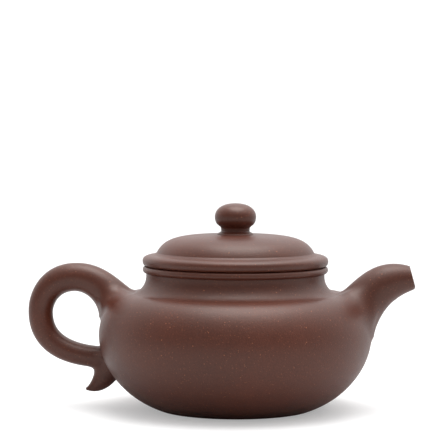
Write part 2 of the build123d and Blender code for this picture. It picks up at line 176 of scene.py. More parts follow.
def height_at(section, r):
    """Height of a body section at a radius, below its widest part."""
    lower = section[section[:, 1] < BELLY_Z]
    return np.interp(r, lower[:, 0], lower[:, 1])


def joined(*runs):
    """Runs of points end to end, with repeated points left out."""
    line = np.vstack(runs)
    keep = np.concatenate([[True], np.hypot(*np.diff(line[:, :2], axis=0).T) > 1e-6])
    return line[keep]


def softened(corners, radii, steps=6):
    """A polyline whose corners are rounded: each corner is a short curve (1-u)^2 A + 2u(1-u) P + u^2 B."""
    corners = np.array(corners, float)
    out = [corners[:1]]
    for before, corner, after, radius in zip(corners, corners[1:], corners[2:], radii):
        back, on = before - corner, after - corner
        a = corner + back * radius / np.hypot(*back)
        b = corner + on * radius / np.hypot(*on)
        u = np.linspace(0, 1, steps)[:, None]
        out.append((1 - u) ** 2 * a + 2 * u * (1 - u) * corner + u * u * b)
    out.append(corners[-1:])
    return joined(*out)


def body_skin():
    """Outside half section of the body, (r, z), from the table up to the top of the neck."""
    run, rise = FOOT_SWEEP * math.cos(FOOT_SLOPE), FOOT_SWEEP * math.sin(FOOT_SLOPE)
    curve_top = NECK_TOP_Z - NECK_BAND
    return joined(
        cubic((FOOT_R, 0), (FOOT_R + run, rise),
              (BELLY_R, BELLY_Z - BELLY_DROP), (BELLY_R, BELLY_Z)),
        cubic((BELLY_R, BELLY_Z), (BELLY_R, BELLY_Z + BELLY_LIFT),
              (SHOULDER_R + SHOULDER_SWEEP, SHOULDER_Z), (SHOULDER_R, SHOULDER_Z)),
        cubic((SHOULDER_R, SHOULDER_Z), (SHOULDER_R - NECK_SWEEP, SHOULDER_Z),
              (NECK_R, curve_top - NECK_SWEEP), (NECK_R, curve_top), step=0.35),
        straight((NECK_R, curve_top), (NECK_R, NECK_TOP_Z), step=0.3),
    )


INNER_SHOULDER_R = SHOULDER_R - 0.3 * WALL
INNER_EASE = 0.4          # how much shorter the pulls of the lining's shoulder curve are
INNER_SHOULDER = (
    (BELLY_R - WALL, BELLY_Z),
    (BELLY_R - WALL, BELLY_Z + BELLY_LIFT - INNER_EASE),
    (INNER_SHOULDER_R + SHOULDER_SWEEP - INNER_EASE, SHOULDER_Z - WALL),
    (INNER_SHOULDER_R, SHOULDER_Z - WALL),
)


def body_lining(step=1.4):
    """Inside half section of the body, (r, z), from the base up to the top of the neck."""
    corner_r = FOOT_R - WALL / 2
    base_z = FOOT_H + BASE_T
    sweep = FOOT_SWEEP - WALL
    run, rise = sweep * math.cos(FOOT_SLOPE), sweep * math.sin(FOOT_SLOPE)
    curve_top = NECK_TOP_Z - NECK_BAND - WALL
    return joined(
        cubic((corner_r, base_z), (corner_r + run, base_z + rise),
              (BELLY_R - WALL, BELLY_Z - BELLY_DROP), (BELLY_R - WALL, BELLY_Z), step),
        cubic(*INNER_SHOULDER, step),
        cubic((INNER_SHOULDER_R, SHOULDER_Z - WALL), (INNER_SHOULDER_R - NECK_SWEEP, SHOULDER_Z - WALL),
              (MOUTH_R, curve_top - NECK_SWEEP), (MOUTH_R, curve_top), step),
        straight((MOUTH_R, curve_top), (MOUTH_R, NECK_TOP_Z), step),
    )


# ---- meshes ----

def hand_made(points):
    """The small unevenness of hand work: each point shifts by slow sine waves of its own place,
    under 0.1 mm, and not at all at the table."""
    x, y, z = points.T
    shift = np.stack([
        0.05 * np.sin(x / 17 + 1.3) * np.cos(y / 23 + z / 19) + 0.02 * np.sin(y / 7.5 + z / 9),
        0.05 * np.sin(y / 19 + 0.4) * np.cos(x / 21 - z / 17) + 0.02 * np.sin(x / 8.5 - z / 8),
        0.04 * np.sin(x / 25 - y / 22 + 2.1) + 0.015 * np.cos(x / 9 + y / 10),
    ], 1)
    return points + shift * np.clip(points[:, 2:] / 6, 0, 1)


def clay_mesh(name, points, quads, triangles=()):
    """A closed mesh from millimetre points. The sign of its volume says which way its faces turn to
    point outwards."""
    quads = np.asarray(quads, np.int32).reshape(-1, 4)
    triangles = np.asarray(triangles, np.int32).reshape(-1, 3)
    points = hand_made(points)
    fan = np.vstack([quads[:, [0, 1, 2]], quads[:, [0, 2, 3]], triangles])
    a, b, c = (points[fan[:, i]] for i in range(3))
    if np.einsum("ij,ij->i", a, np.cross(b, c)).sum() < 0:
        quads, triangles = quads[:, ::-1], triangles[:, ::-1]
    mesh = bpy.data.meshes.new(name)
    mesh.vertices.add(len(points))
    mesh.vertices.foreach_set("co", (points * MM).astype(np.float32).ravel())
    loops = np.concatenate([quads.ravel(), triangles.ravel()])
    sizes = np.concatenate([np.full(len(quads), 4), np.full(len(triangles), 3)]).astype(np.int32)
    starts = np.concatenate([[0], np.cumsum(sizes)[:-1]]).astype(np.int32)
    mesh.loops.add(len(loops))
    mesh.loops.foreach_set("vertex_index", loops.astype(np.int32))
    mesh.polygons.add(len(sizes))
    mesh.polygons.foreach_set("loop_start", starts)
    mesh.polygons.foreach_set("use_smooth", np.ones(len(sizes), bool))
    mesh.update(calc_edges=True)
    mesh.validate()
    mesh.set_sharp_from_angle(angle=math.radians(CREASE))
    piece = bpy.data.objects.new(name, mesh)
    bpy.context.scene.collection.objects.link(piece)
    return piece


def grid_quads(rows, columns, ring=False):
    """Corner numbers of a grid that is closed along its columns, and along its rows too if it is a ring."""
    r = np.arange(rows if ring else rows - 1)[:, None]
    c = np.arange(columns)[None, :]
    r2, c2 = (r + 1) % rows, (c + 1) % columns
    corners = [r * columns + c, r * columns + c2, r2 * columns + c2, r2 * columns + c]
    return np.stack(corners, -1).reshape(-1, 4)


def pole_triangles(rows, columns):
    """Fans that close the first and last rows of a grid with the two points that follow it."""
    first = rows * columns
    end = (rows - 1) * columns
    c = np.arange(columns)
    c2 = (c + 1) % columns
    return np.vstack([
        np.stack([np.full(columns, first), c2, c], 1),
        np.stack([np.full(columns, first + 1), end + c, end + c2], 1),
    ])


def turned(name, section, around=AROUND):
    """A half section (r, z) turned about the axis: x = r cos a, y = r sin a. It is a closed ring, or it
    starts and ends on the axis, where a fan of triangles closes it."""
    poles = section[0, 0] < 1e-9
    body = section[1:-1] if poles else section
    a = np.linspace(0, 2 * math.pi, around, endpoint=False)
    r, z = body[:, :1], body[:, 1:2]
    points = np.stack([r * np.cos(a), r * np.sin(a), z + 0 * a], -1).reshape(-1, 3)
    quads = grid_quads(len(body), around, ring=not poles)
    if not poles:
        return clay_mesh(name, points, quads)
    points = np.vstack([points, [[0, 0, section[0, 1]], [0, 0, section[-1, 1]]]])
    return clay_mesh(name, points, quads, pole_triangles(len(body), around))


# ---- fields: how far a point is outside a shape, in millimetres ----

def nearest(flat, line):
    """For each 2-D point, the fractional index of the nearest place on a polyline, and the gap to it."""
    a = line[:-1, :2]
    d = line[1:, :2] - a
    t = np.clip(((flat[:, None] - a) * d).sum(2) / (d * d).sum(1), 0, 1)
    gap = flat[:, None] - a - t[..., None] * d
    k = (gap ** 2).sum(2).argmin(1)
    pick = np.arange(len(flat))
    return k + t[pick, k], gap[pick, k]


def turned_field(section):
    """Distance outside a turned surface: the gap to the half section, measured along its normal."""
    run = np.gradient(section, axis=0)
    normal = np.stack([run[:, 1], -run[:, 0]], 1) / np.hypot(*run.T)[:, None]
    index = np.arange(len(section))

    def field(p):
        at, gap = nearest(np.stack([np.hypot(p[:, 0], p[:, 1]), p[:, 2]], 1), section)
        n = np.stack([np.interp(at, index, normal[:, i]) for i in range(2)], 1)
        return (gap * n).sum(1)
    return field


def limb_field(path):
    """Distance outside a round-sectioned limb along a path of (x, z, half thickness, half width)."""
    index = np.arange(len(path))

    def field(p):
        at, gap = nearest(p[:, [0, 2]], path)
        half = np.interp(at, index, path[:, 2])
        wide = np.interp(at, index, path[:, 3])
        return np.sqrt((gap ** 2).sum(1) + (p[:, 1] * half / wide) ** 2) - half
    return field


def smooth_union(first, second, width):
    """The smaller of two fields, eased where they are within a width w of each other: min - w s^3 / 6."""
    def field(p):
        a, b, w = first(p), second(p), width(p)
        s = np.clip(1 - np.abs(a - b) / w, 0, 1)
        return np.minimum(a, b) - w * s ** 3 / 6
    return field


def uphill(field, p, nudge=0.02):
    """Direction in which a field grows, by small differences."""
    here = field(p)
    slopes = np.stack([field(p + nudge * axis) - here for axis in np.eye(3)], 1) / nudge
    return here, slopes


def settle(field, p, level=0.0, steps=7):
    """Points slid up or down a field until it reads the given level, by Newton steps of at most 1.5 mm."""
    for _ in range(steps):
        here, slopes = uphill(field, p)
        move = (here - level) / np.maximum((slopes ** 2).sum(1), 0.05)
        move = np.clip(move, -1.5, 1.5)
        p = p - slopes * move[:, None]
    return p


# ---- limbs that grow out of the body ----

def skin_of(path, at, turn):
    """Points on a limb's skin: its path at a fractional index, out by its half thickness and half width."""
    index = np.arange(len(path))
    run = np.gradient(path[:, :2], axis=0)
    run = run / np.hypot(*run.T)[:, None]
    x, z, half, wide, dx, dz = (np.interp(at, index, v) for v in (*path.T, *run.T))
    size = np.hypot(dx, dz)
    dx, dz = dx / size, dz / size
    lift, side = np.cos(turn), np.sin(turn)
    return np.stack([x - dz * half * lift, wide * side, z + dx * half * lift], -1)


def crossing(path, turn, parent, forward=True):
    """Fractional index at which each line of a limb's skin last leaves the parent surface."""
    fine = np.linspace(0, len(path) - 1, 6 * len(path))
    grid = skin_of(path, np.broadcast_to(fine[:, None], (len(fine), len(turn))), turn[None, :])
    level = parent(grid.reshape(-1, 3)).reshape(len(fine), len(turn))
    if not forward:
        level = level[::-1]
    half = len(fine) // 2
    inside = level[:half] < 0
    last = half - 1 - inside[::-1].argmax(0)
    cols = np.arange(len(turn))
    a, b = level[last, cols], level[last + 1, cols]
    at = np.interp(last + a / (a - b), np.arange(len(fine)), fine)
    return at if forward else len(path) - 1 - at


def skirt(edge, limb, parent, spread, rows):
    """Rows of points that spread from a limb's edge over the parent surface, away from the limb."""
    _, away = uphill(limb, edge)
    _, normal = uphill(parent, edge)
    normal = normal / np.linalg.norm(normal, axis=1)[:, None]
    along = away - (away * normal).sum(1)[:, None] * normal
    along = along / np.linalg.norm(along, axis=1)[:, None]
    far = np.linspace(0, 1, rows + 1)[1:, None, None]
    return edge + far * spread[:, None] * along


def hidden_cap(rim, parent, rows, depth=1.2):
    """Rows that close a limb's root under the parent's skin, and the point they run to."""
    centre = rim.mean(0)
    part = np.linspace(0, 1, rows + 2)[1:-1, None, None]
    inner = rim * (1 - part) + centre * part
    flat = np.vstack([inner.reshape(-1, 3), centre[None]])
    flat = settle(parent, flat, -depth)
    return flat[:-1].reshape(rows, -1, 3), flat[-1]


def capped(name, rows, first_pole, last_pole):
    """A mesh of ring rows closed by a point at each end."""
    count, around = rows.shape[:2]
    points = np.vstack([rows.reshape(-1, 3), first_pole[None], last_pole[None]])
    return clay_mesh(name, points, grid_quads(count, around), pole_triangles(count, around))


def easing_reach(edge, limb, parent, width, furthest=5.0, tries=30):
    """How far over the parent the easing goes: to where the limb's field first exceeds the easing width."""
    longest = furthest * width(edge)
    rows = skirt(edge, limb, parent, longest, tries)
    flat = settle(parent, rows.reshape(-1, 3), steps=4)
    beyond = (limb(flat) > width(flat)).reshape(tries, -1)
    beyond[-1] = True
    reach_at = longest * (beyond.argmax(0) + 1) / tries
    smooth = sum(np.roll(reach_at, k) for k in (-3, -2, -1, 0, 1, 2, 3)) / 7
    return np.maximum(smooth, reach_at) + 0.4


def rooted(edge, limb, parent, field, width, rows=18):
    """Skirt, tuck and hidden cap of one root, from the limb's edge outwards and back under the parent."""
    spread = easing_reach(edge, limb, parent, width)
    spread_rows = skirt(edge, limb, parent, spread, rows)
    shaped = settle(field, spread_rows.reshape(-1, 3)).reshape(spread_rows.shape)
    tuck = settle(parent, shaped[-1], -0.3)
    cap, pole = hidden_cap(tuck, parent, 8)
    return np.concatenate([shaped, tuck[None], cap]), pole


def eased(tube, parent, field, width):
    """Rows of a limb's skin, drawn onto the eased surface where the parent is near enough to matter."""
    points = tube.reshape(-1, 3).copy()
    near = parent(points) < width(points) + 1.0
    points[near] = settle(field, points[near])
    return points.reshape(tube.shape)


def mixed(low, high, value, start, stop):
    """Smooth step s^2 (3 - 2s) from low to high as a value goes from start to stop."""
    s = np.clip((value - start) / (stop - start), 0, 1)
    return low + (high - low) * s * s * (3 - 2 * s)


def handle_path():
    """Middle line of the handle from its lower root, out and over to its upper root:
    (x, z, half thickness, half width)."""
    step = 0.8
    low_x, low_z, low_half = HANDLE_LOW
    root_x, root_z, root_half = HANDLE_ROOT
    line = joined(
        straight((low_x + 7, low_z - 0.3, low_half), HANDLE_LOW, step),
        pulled_cubic(HANDLE_LOW, HANDLE_LOW_PULLS, HANDLE_SIDE, step),
        pulled_cubic(HANDLE_SIDE, HANDLE_SIDE_PULLS, HANDLE_TOP, step),
        pulled_cubic(HANDLE_TOP, HANDLE_TOP_PULLS, HANDLE_ROOT, step),
        straight(HANDLE_ROOT, (root_x + 4.2, root_z - 5.6, root_half), step),
    )
    count = len(line)
    wide = np.interp(np.arange(count), [0, count * 0.5, count - 1], [1.0, 1.0, HANDLE_SQUASH])
    return np.column_stack([line, line[:, 2] * wide])


def tail_path():
    """Middle line of the hooked tail, from inside the lower root down and out to its point."""
    line = pulled_cubic(TAIL_TOP, TAIL_PULLS, TAIL_POINT, 0.5)
    wide = np.interp(np.arange(len(line)), [0, len(line) - 1], TAIL_WIDTHS)
    return np.column_stack([line, wide])


def spout_path():
    """Middle line of the spout from inside the body to past its lip: (x, z, half thickness, half width)."""
    step = 0.5
    lip_x, lip_z, _ = SPOUT_LIP
    line = joined(
        pulled_cubic(SPOUT_ROOT, SPOUT_ROOT_PULLS, SPOUT_MID, step),
        pulled_cubic(SPOUT_MID, SPOUT_MID_PULLS, SPOUT_LIP, step),
        straight(SPOUT_LIP, (lip_x + 3.7, lip_z + 1.55, 4.2), step),
    )
    return np.column_stack([line, line[:, 2]])


def make_handle(body):
    """Ring handle: skin lines run from root to root and both ends ease into the body's skin."""
    path = handle_path()
    length_rows = 190
    turn = np.linspace(0, 2 * math.pi, LIMB_AROUND, endpoint=False)
    limb = limb_field(path)

    def width(p):
        """Narrow at the lower root, on the ridge and beside the neck, wide on the upper root's flanks."""
        upper = mixed(*HANDLE_EASE, np.abs(p[:, 1]), *HANDLE_FLANK)
        upper = mixed(NECK_EASE, upper, np.hypot(p[:, 0], p[:, 1]), *NECK_SIDE)
        return mixed(HANDLE_EASE[0], upper, p[:, 2], *HANDLE_UPPER)
    field = smooth_union(body, limb, width)
    start = crossing(path, turn, body)
    stop = crossing(path, turn, body, forward=False)
    part = np.linspace(0, 1, length_rows)[:, None]
    tube = skin_of(path, start + (stop - start) * part, np.broadcast_to(turn, (length_rows, LIMB_AROUND)))
    first, first_pole = rooted(tube[0], limb, body, field, width)
    last, last_pole = rooted(tube[-1], limb, body, field, width)
    tube = eased(tube, body, field, width)
    rows = np.concatenate([first[::-1], tube, last])
    return capped("handle_ring", rows, first_pole, last_pole), field


def make_tail(parent):
    """Hooked tail under the lower root, eased into handle and body, with a small rounded point."""
    path = tail_path()
    length_rows = 70
    turn = np.linspace(0, 2 * math.pi, TAIL_AROUND, endpoint=False)
    limb = limb_field(path)

    def width(p):
        """Narrow on the body, wider out under the handle."""
        return mixed(*TAIL_EASE, p[:, 0], *TAIL_SIDE)
    field = smooth_union(parent, limb, width)
    start = crossing(path, turn, parent)
    part = np.linspace(0, 1, length_rows)[:, None]
    at = start + (len(path) - 1 - start) * part
    tube = skin_of(path, at, np.broadcast_to(turn, (length_rows, TAIL_AROUND)))
    root, root_pole = rooted(tube[0], limb, parent, field, width, rows=12)
    tube = eased(tube, parent, field, width)
    end = tube[-1].mean(0)
    outward = np.array([-0.7, 0, -0.1])
    nose = [end + (tube[-1] - end) * math.cos(a) + outward * math.sin(a) for a in (0.5, 1.0, 1.35)]
    rows = np.concatenate([root[::-1], tube, np.array(nose)])
    return capped("hooked_tail", rows, root_pole, end + np.array([-0.72, 0, -0.1]))


def make_spout(body):
    """Hollow spout as one closed ring of rows: skin, lip, channel, and a face hidden under the body."""
    path = spout_path()
    length_rows, skirt_rows = 100, 24
    turn = np.linspace(0, 2 * math.pi, LIMB_AROUND, endpoint=False)
    limb = limb_field(path)

    def width(p):
        """Narrow on the ridges above and below and beside the neck, wide on the flanks."""
        ridge = mixed(*SPOUT_RIDGE_EASE, p[:, 2], *SPOUT_RIDGE_UP)
        flank = mixed(*SPOUT_FLANK_EASE, p[:, 2], *SPOUT_FLANK_UP)
        flank = mixed(NECK_EASE, flank, np.hypot(p[:, 0], p[:, 1]), *NECK_SIDE)
        return mixed(ridge, flank, np.abs(p[:, 1]), *SPOUT_FLANK)
    field = smooth_union(body, limb, width)
    start = crossing(path, turn, body)
    lip_out = np.array([math.cos(LIP_LEAN), 0, math.sin(LIP_LEAN)])
    lip_up = np.array([-math.sin(LIP_LEAN), 0, math.cos(LIP_LEAN)])
    lip_mid = np.array([SPOUT_LIP[0], 0, SPOUT_LIP[1] + 0.05])
    fine = np.linspace(0, len(path) - 1, 8 * len(path))
    lines = skin_of(path, np.broadcast_to(fine[:, None], (len(fine), LIMB_AROUND)), turn[None, :])
    ahead = (lines - lip_mid) @ lip_out
    lowness = 0.5 - 0.5 * np.cos(turn)
    soft = 0.45 + 0.75 * lowness ** 3

    def index_at(level):
        """Where each line of the skin comes to a level ahead of the lip's plane."""
        return np.array([np.interp(v, ahead[:, i], fine) for i, v in enumerate(level)])
    edge_at, lip_at = index_at(-soft), index_at(np.zeros(LIMB_AROUND))
    part = np.linspace(0, 1, length_rows)[:, None]
    tube = skin_of(path, start + (edge_at - start) * part, np.broadcast_to(turn, (length_rows, LIMB_AROUND)))
    root, _ = rooted(tube[0], limb, body, field, width, rows=skirt_rows)
    root = root[:skirt_rows + 1]
    tube = eased(tube, body, field, width)
    corner = skin_of(path, lip_at, turn)
    bore_dir = np.cos(turn)[:, None] * lip_up + np.sin(turn)[:, None] * ACROSS
    inner_soft = 0.35
    bore_edge = lip_mid + OUTLET_R * bore_dir
    across_lip = bore_edge - corner
    face_out = corner + across_lip * (soft / np.linalg.norm(across_lip, axis=1))[:, None]
    face_in = bore_edge + inner_soft * bore_dir
    bore_in = bore_edge - inner_soft * lip_out
    lip = [
        *bent_rows(tube[-1], corner, face_out),
        (face_out + face_in) / 2,
        face_in,
        *bent_rows(face_in, bore_edge, bore_in),
    ]
    channel = channel_rows(turn, lip_mid, lip_out)
    hidden_rim = settle(body, channel[-1], -1.2)
    back = [settle(body, hidden_rim * (1 - u) + root[-1] * u, -1.2 + 0.9 * u) for u in (0.25, 0.5, 0.75)]
    rows = np.concatenate([root[::-1], tube, np.array(lip), channel, hidden_rim[None], np.array(back)])
    return clay_mesh("curved_spout", rows.reshape(-1, 3), grid_quads(len(rows), LIMB_AROUND, ring=True))


def bent_rows(a, corner, b):
    """Rows that round a rim from a to b: (1-u)^2 a + 2u(1-u) corner + u^2 b."""
    return [(1 - u) ** 2 * a + 2 * u * (1 - u) * corner + u * u * b for u in (0.2, 0.4, 0.6, 0.8, 1.0)]


def channel_rows(turn, lip_mid, lip_out):
    """The way through the spout, from the outlet bore back to the hole in the wall, as rings on its path."""
    (hole_x, hole_z), (out_x, out_z) = hole_place()
    mid_x, mid_z, _ = SPOUT_MID
    bore_x, bore_z = (lip_mid - OUTLET_RUN * lip_out)[[0, 2]]
    lean_x, lean_z = lip_out[[0, 2]]
    skin_x, skin_z = hole_x + WALL * out_x, hole_z + WALL * out_z
    line = joined(
        cubic((bore_x, bore_z, OUTLET_R), (bore_x - 3 * lean_x, bore_z - 3 * lean_z, 3.8),
              (mid_x + 3.2, mid_z + 2.2, 5.1), (mid_x, mid_z, SPOUT_BORE_MID), 0.8),
        cubic((mid_x, mid_z, SPOUT_BORE_MID), (mid_x - 3.2, mid_z - 2.2, 6.1),
              (skin_x + 2.5 * out_x, skin_z + 2.5 * out_z, SPOUT_HOLE_R),
              (skin_x, skin_z, SPOUT_HOLE_R), 0.8),
    )
    path = np.column_stack([line, line[:, 2]])
    at = np.broadcast_to(np.arange(len(path))[:, None], (len(path), len(turn)))
    return skin_of(path, at, math.pi - turn[None, :])


def hole_place():
    """Middle of the spout's hole on the inside wall and the way out through the wall, both in (x, z)."""
    ctrl = np.array(INNER_SHOULDER)
    middle = (ctrl[0] + 3 * ctrl[1] + 3 * ctrl[2] + ctrl[3]) / 8
    run = ctrl[3] + ctrl[2] - ctrl[1] - ctrl[0]
    run = run / np.hypot(*run)
    return middle, np.array([run[1], -run[0]])


# ---- turned pieces ----

def make_wall():
    """Belly wall, shoulder disc and neck collar as the one skin they are beaten into. The section goes up
    the outside and down the inside."""
    skin, lining = body_skin(), body_lining()
    past_base = BASE_R + 0.05
    outer = np.vstack([[BASE_R, height_at(skin, BASE_R)], skin[skin[:, 0] > past_base]])
    kept = (lining[:, 0] > past_base) | (lining[:, 1] > BELLY_Z)
    inner = np.vstack([[BASE_R, height_at(lining, BASE_R)], lining[kept]])
    return turned("body_wall", joined(outer, inner[::-1]))


def make_foot_ring():
    """Low foot ring under the base, its edges rubbed round."""
    skin = body_skin()
    side = skin[skin[:, 0] < BASE_R - 0.05]
    inside_r = BASE_R - FOOT_W
    corners = [(BASE_R, FOOT_H), (inside_r, FOOT_H), (inside_r, 0), (FOOT_R, 0), side[-1]]
    ring = joined(softened(corners, [0.02, 0.7, 0.35]), [[BASE_R, height_at(skin, BASE_R)]])
    return turned("foot_ring_clay", ring)


def make_base():
    """Base disc, a little hollow underneath."""
    lining = body_lining(step=0.8)
    side = lining[(lining[:, 0] < BASE_R) & (lining[:, 1] < BELLY_Z)]
    r = np.linspace(0, BASE_R, 24)
    hollow = np.clip(1 - (r / (BASE_R - FOOT_W)) ** 2, 0, 1)
    under = np.column_stack([r, FOOT_H + FOOT_HOLLOW * hollow])
    top = straight(side[0], (0, side[0, 1]), 1.5)
    section = joined(under, [[BASE_R, height_at(lining, BASE_R)]], side[::-1], top[1:])
    return turned("base_disc_clay", section, around=256)


def make_mouth_ring():
    """Half-round mouth ring with a flat seat for the lid."""
    ring_r, mid = MOUTH_RING_R, NECK_TOP_Z + RING_MID
    seat_r = ring_r - 1.3
    bead = joined(
        cubic((NECK_R, NECK_TOP_Z), (NECK_R + 0.75, NECK_TOP_Z + 0.1),
              (ring_r, mid - 0.7), (ring_r, mid), 0.15),
        cubic((ring_r, mid), (ring_r, mid + 0.9), (ring_r - 0.5, MOUTH_Z), (seat_r, MOUTH_Z), 0.15),
    )
    corners = [(seat_r, MOUTH_Z), (MOUTH_R, MOUTH_Z), (MOUTH_R, NECK_TOP_Z), (NECK_R, NECK_TOP_Z)]
    inside = softened(corners, [0.5, 0.02])
    return turned("mouth_ring_clay", joined(bead, inside)[:-1])


def make_lid_plate():
    """Lid plate: flat seat, rounded brim, and a top that rises to the soft valley at the foot of the dome."""
    brim_z = MOUTH_Z + BRIM_MID
    roll_r, roll_z = BRIM_R - BRIM_ROLL, VALLEY_Z - 0.85
    under = straight((FLANGE_BORE_R, MOUTH_Z), (BRIM_R - 2.2, MOUTH_Z), 1.0)
    top = joined(
        cubic((BRIM_R - 1.6, MOUTH_Z + 0.12), (BRIM_R - 0.5, MOUTH_Z + 0.14),
              (BRIM_R, MOUTH_Z + 0.8), (BRIM_R, brim_z), 0.15),
        cubic((BRIM_R, brim_z), (BRIM_R, brim_z + 1.5),
              (roll_r + 2.2, roll_z - 0.2), (roll_r, roll_z), 0.2),
        cubic((roll_r, roll_z), (roll_r - 0.9, roll_z + 0.13),
              (DOME_R + 0.5, VALLEY_Z - 0.35), (DOME_R, VALLEY_Z), 0.15),
    )
    ring = joined(under, top, straight((DOME_R, VALLEY_Z), (FLANGE_BORE_R, VALLEY_Z), 1.0))
    return turned("lid_plate_clay", ring)


def dome_curve(foot_r, pull, flat_r, top_z, step):
    """A dome's half section from its foot, sloping in at the foot and level at the axis."""
    run, rise = pull * math.cos(DOME_SLOPE), pull * math.sin(DOME_SLOPE)
    return cubic((foot_r, VALLEY_Z), (foot_r - run, VALLEY_Z + rise), (flat_r, top_z), (0, top_z), step)


def dome_skin():
    """Outside half section of the dome from its foot to the axis."""
    return dome_curve(DOME_R, DOME_PULL, DOME_FLAT, DOME_Z, 0.4)


def make_dome():
    """Hollow dome of the lid with the breathing hole at its top."""
    skin = dome_skin()
    skin = skin[skin[:, 0] > VENT_R]
    lining = dome_curve(FLANGE_BORE_R, DOME_INNER_PULL, DOME_INNER_FLAT, DOME_Z - DOME_T, 1.0)
    lining = lining[lining[:, 0] > VENT_R]
    ring = joined(skin, [[VENT_R, DOME_Z]], [[VENT_R, DOME_Z - DOME_T]], lining[::-1])
    return turned("lid_dome_clay", ring)


def make_flange():
    """Upright flange that drops into the mouth, thinned and rounded at its lower edge."""
    corners = [(FLANGE_R, MOUTH_Z), (FLANGE_BORE_R, MOUTH_Z), (FLANGE_BORE_R + 0.3, FLANGE_Z),
               (FLANGE_R - 0.1, FLANGE_Z), (FLANGE_R, MOUTH_Z - 0.01)]
    return turned("lid_flange_clay", softened(corners, [0.02, 0.8, 0.6]))


def make_knob_foot():
    """Low flared foot that eases from the dome up to the knob's waist."""
    skin = dome_skin()[::-1]
    sunk = 0.15
    under = skin[(skin[:, 0] > VENT_R) & (skin[:, 0] < KNOB_FOOT_R)] - [0, sunk]
    edge_z = np.interp(KNOB_FOOT_R, skin[:, 0], skin[:, 1])
    lip_r, lip_z = KNOB_FOOT_R - 1.0, edge_z + 0.8
    flare = joined(
        cubic((KNOB_FOOT_R, edge_z - sunk), (KNOB_FOOT_R, edge_z + 0.25),
              (KNOB_FOOT_R - 0.4, edge_z + 0.5), (lip_r, lip_z), 0.12),
        cubic((lip_r, lip_z), (lip_r - 0.9, lip_z + 0.4), (WAIST_R, WAIST_Z - 0.7), (WAIST_R, WAIST_Z), 0.12),
    )
    ring = joined(under, flare, [[VENT_R, WAIST_Z]])
    return turned("knob_foot_clay", ring, around=KNOB_AROUND)


def make_knob():
    """Flattened ball knob with the breathing hole opening at its top."""
    widest = WAIST_Z + KNOB_MID
    skin = joined(
        cubic((WAIST_R, WAIST_Z), (WAIST_R, WAIST_Z + 1.6), (KNOB_R, widest - 3.94), (KNOB_R, widest), 0.2),
        cubic((KNOB_R, widest), (KNOB_R, widest + 1.5), (0.85 * KNOB_R, KNOB_Z), (0, KNOB_Z), 0.2),
    )
    skin = skin[skin[:, 0] > VENT_R + 0.45]
    top_z = skin[-1, 1]
    mouth = cubic(skin[-1], (VENT_R + 0.2, top_z), (VENT_R, top_z - 0.1), (VENT_R, top_z - 0.5), 0.1)
    ring = joined(skin, mouth, [[VENT_R, WAIST_Z]])
    return turned("knob_clay", ring, around=KNOB_AROUND)


def make_strainer():
    """The pierced dome's own shape, merged, with the rims of its holes kept crisp."""
    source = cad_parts["spout_strainer"].data
    mesh = source.copy()
    mesh.name = "pierced_strainer"
    work = bmesh.new()
    work.from_mesh(mesh)
    bmesh.ops.remove_doubles(work, verts=work.verts, dist=1e-6)
    work.to_mesh(mesh)
    work.free()
    mesh.polygons.foreach_set("use_smooth", np.ones(len(mesh.polygons), bool))
    mesh.set_sharp_from_angle(angle=math.radians(35.0))
    mesh.materials.clear()
    piece = bpy.data.objects.new("pierced_strainer", mesh)
    bpy.context.scene.collection.objects.link(piece)
    return piece


def open_hole(wall):
    """Cuts the round hole behind the spout through the wall."""
    (x, z), (ox, oz) = hole_place()
    bpy.ops.mesh.primitive_cylinder_add(vertices=64, radius=SPOUT_HOLE_R * MM, depth=4 * WALL * MM)
    drill = bpy.context.object
    drill.rotation_euler = (0, math.atan2(ox, oz), 0)
    drill.location = (x * MM, 0, z * MM)
    bpy.context.view_layer.update()
    cut = wall.modifiers.new("hole", "BOOLEAN")
    cut.operation = "DIFFERENCE"
    cut.solver = "EXACT"
    cut.object = drill
    graph = bpy.context.evaluated_depsgraph_get()
    shaped = bpy.data.meshes.new_from_object(wall.evaluated_get(graph))
    wall.modifiers.clear()
    wall.data = shaped
    shaped.polygons.foreach_set("use_smooth", np.ones(len(shaped.polygons), bool))
    shaped.set_sharp_from_angle(angle=math.radians(CREASE))
    bpy.data.objects.remove(drill)


# ---- clay ----

def ramp(tree, value, low, high, kind="SMOOTHSTEP"):
    """A Map Range node that turns low..high into 0..1."""
    node = tree.nodes.new("ShaderNodeMapRange")
    node.interpolation_type = kind
    node.inputs["From Min"].default_value = low
    node.inputs["From Max"].default_value = high
    tree.links.new(value, node.inputs["Value"])
    return node.outputs["Result"]


def sums(tree, operation, a, b):
    """A Math node; a and b are sockets or numbers."""
    node = tree.nodes.new("ShaderNodeMath")
    node.operation = operation
    for socket, value in zip(node.inputs, (a, b)):
        if isinstance(value, (int, float)):
            socket.default_value = value
        else:
            tree.links.new(value, socket)
    return node.outputs[0]


def scaled(tree, value, factor, start):
    """A Math node that gives value * factor + start."""
    out = sums(tree, "MULTIPLY_ADD", value, factor)
    out.node.inputs[2].default_value = start
    return out


def product(tree, *values):
    """Values multiplied together."""
    out = values[0]
    for value in values[1:]:
        out = sums(tree, "MULTIPLY", out, value)
    return out


def blend_colour(tree, mask, a, b, mode="MIX"):
    """A Mix node on two colours; a and b are sockets or colours."""
    node = tree.nodes.new("ShaderNodeMix")
    node.data_type = "RGBA"
    node.blend_type = mode
    for socket, value in ((node.inputs[0], mask), (node.inputs[6], a), (node.inputs[7], b)):
        if isinstance(value, (int, float, tuple)):
            socket.default_value = value
        else:
            tree.links.new(value, socket)
    return node.outputs[2]


def noise(tree, place, scale, detail=2.0, rough=0.5):
    """A Noise Texture value at so many features a metre."""
    node = tree.nodes.new("ShaderNodeTexNoise")
    node.inputs["Scale"].default_value = scale
    node.inputs["Detail"].default_value = detail
    node.inputs["Roughness"].default_value = rough
    tree.links.new(place, node.inputs["Vector"])
    return node.outputs["Fac"]


